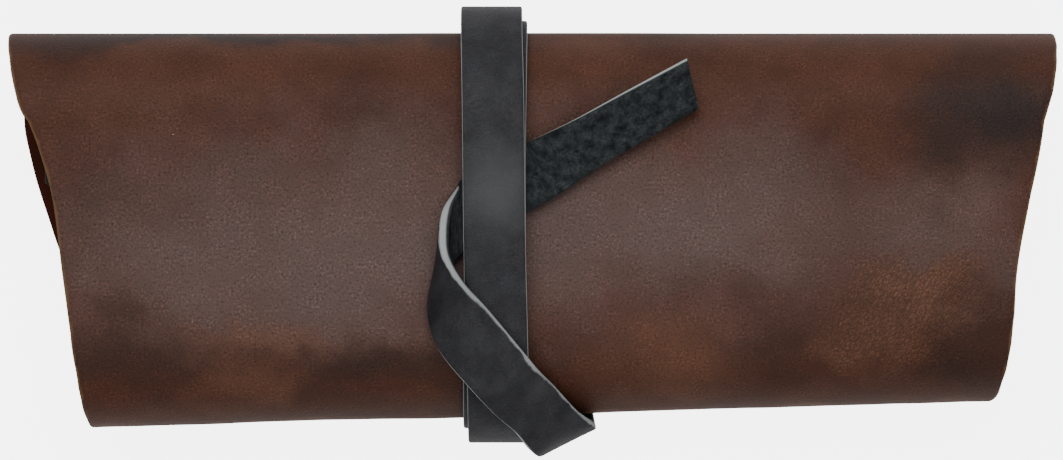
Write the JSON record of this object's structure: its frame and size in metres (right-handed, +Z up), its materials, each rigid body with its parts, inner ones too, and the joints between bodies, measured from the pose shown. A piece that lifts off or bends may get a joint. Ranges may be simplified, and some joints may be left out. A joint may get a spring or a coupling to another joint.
{
  "type": "pencil case",
  "caption": "Roll-up pencil case: a tapered leather cover folded round a row of pencil slots and tied shut with a leather strap wrapped round it and tucked under itself.",
  "frame": {"origin": "centre of the bounding box's underside, on the table under the rolled case", "axes": "+X along the roll, with the pocket's closed end at -X, +Y towards the wide fold, +Z up through the front flap"},
  "size_m": [0.2228, 0.0957, 0.0491],
  "materials": {
    "cover_leather": "waxed pull-up leather, satin",
    "pocket_leather": "smooth black leather",
    "strap_leather": "scuffed charcoal leather, suede on its inner face",
    "thread": "waxed thread",
    "rivet": "aged brass"
  },
  "bodies": {
    "back": {"back_panel": "cover_leather", "pocket_back": "pocket_leather", "stitches_back": "thread", "rivet_posts": "rivet", "rivet_heads": "rivet", "strap_first_wrap": "strap_leather", "strap_second_wrap": "strap_leather", "strap_back_pass": "strap_leather", "strap_diagonal": "strap_leather", "strap_turn": "strap_leather"},
    "wide_fold_low": {"wide_fold_low": "cover_leather", "pocket_fold_low": "pocket_leather", "stitches_fold_low": "thread"},
    "wide_fold_mid": {"wide_fold_mid": "cover_leather", "pocket_fold_mid": "pocket_leather", "stitches_fold_mid": "thread"},
    "wide_fold_high": {"wide_fold_high": "cover_leather", "pocket_fold_high": "pocket_leather", "stitches_fold_high": "thread"},
    "front_flap": {"front_flap": "cover_leather"},
    "flap_end_bend": {"flap_end_bend": "cover_leather"},
    "flap_end": {"flap_end": "cover_leather"},
    "inner_fold_low": {"inner_fold_low": "cover_leather"},
    "inner_fold_mid": {"inner_fold_mid": "cover_leather"},
    "inner_fold_high": {"inner_fold_high": "cover_leather"},
    "inner_flap": {"inner_flap": "cover_leather"},
    "strap_tuck": {"strap_tuck": "strap_leather"},
    "strap_tail": {"strap_tail": "strap_leather"}
  },
  "joints": [
    {"name": "unroll", "type": "hinge", "parent": "back", "child": "wide_fold_low", "pos_m": [0, 0.03012, 0.0018], "axis": [-1, 0, 0], "range_deg": [0, 45], "deforming": ["strap_first_wrap", "strap_second_wrap", "strap_back_pass", "strap_diagonal", "strap_turn", "strap_tuck", "strap_tail"]},
    {"name": "wide_fold_lower_bend", "type": "hinge", "parent": "wide_fold_low", "child": "wide_fold_mid", "pos_m": [0, 0.0402, 0.01188], "axis": [-1, 0, 0], "range_deg": [0, 45]},
    {"name": "wide_fold_upper_bend", "type": "hinge", "parent": "wide_fold_mid", "child": "wide_fold_high", "pos_m": [0, 0.0402, 0.02612], "axis": [-1, 0, 0], "range_deg": [0, 45]},
    {"name": "front_flap_bend", "type": "hinge", "parent": "wide_fold_high", "child": "front_flap", "pos_m": [0, 0.03012, 0.0362], "axis": [-1, 0, 0], "range_deg": [0, 45]},
    {"name": "flap_end_upper_bend", "type": "hinge", "parent": "front_flap", "child": "flap_end_bend", "pos_m": [0, -0.02732, 0.0362], "axis": [-0.9994, -0.0333, 0], "range_deg": [0, 45]},
    {"name": "flap_end_lower_bend", "type": "hinge", "parent": "flap_end_bend", "child": "flap_end", "pos_m": [0, -0.0374, 0.02612], "axis": [-0.9994, -0.0333, 0], "range_deg": [0, 45]},
    {"name": "inner_fold_first_bend", "type": "hinge", "parent": "back", "child": "inner_fold_low", "pos_m": [0, -0.02414, 0.0018], "axis": [0.9994, 0.0333, 0], "range_deg": [0, 45]},
    {"name": "inner_fold_lower_bend", "type": "hinge", "parent": "inner_fold_low", "child": "inner_fold_mid", "pos_m": [0, -0.0334, 0.01106], "axis": [0.9994, 0.0333, 0], "range_deg": [0, 45]},
    {"name": "inner_fold_upper_bend", "type": "hinge", "parent": "inner_fold_mid", "child": "inner_fold_high", "pos_m": [0, -0.0334, 0.02414], "axis": [0.9994, 0.0333, 0], "range_deg": [0, 45]},
    {"name": "inner_flap_bend", "type": "hinge", "parent": "inner_fold_high", "child": "inner_flap", "pos_m": [0, -0.02414, 0.0334], "axis": [0.9994, 0.0333, 0], "range_deg": [0, 45]},
    {"name": "tail_pull", "type": "slide", "parent": "back", "child": "strap_tuck", "axis": [0.8686, 0.4955, 0], "range_m": [0, 0.006], "deforming": ["strap_turn"]},
    {"name": "tail_lift", "type": "hinge", "parent": "strap_tuck", "child": "strap_tail", "pos_m": [0.00215, 0.01273, 0.0406], "axis": [0.4955, -0.8686, 0], "range_deg": [0, 75]}
  ],
  "couplings": [
    {"joint": "wide_fold_lower_bend", "follows": "unroll", "ratio": 1},
    {"joint": "wide_fold_upper_bend", "follows": "unroll", "ratio": 1},
    {"joint": "front_flap_bend", "follows": "unroll", "ratio": 1},
    {"joint": "flap_end_upper_bend", "follows": "unroll", "ratio": 1},
    {"joint": "flap_end_lower_bend", "follows": "unroll", "ratio": 1},
    {"joint": "inner_fold_first_bend", "follows": "unroll", "ratio": 1},
    {"joint": "inner_fold_lower_bend", "follows": "unroll", "ratio": 1},
    {"joint": "inner_fold_upper_bend", "follows": "unroll", "ratio": 1},
    {"joint": "inner_flap_bend", "follows": "unroll", "ratio": 1}
  ]
}
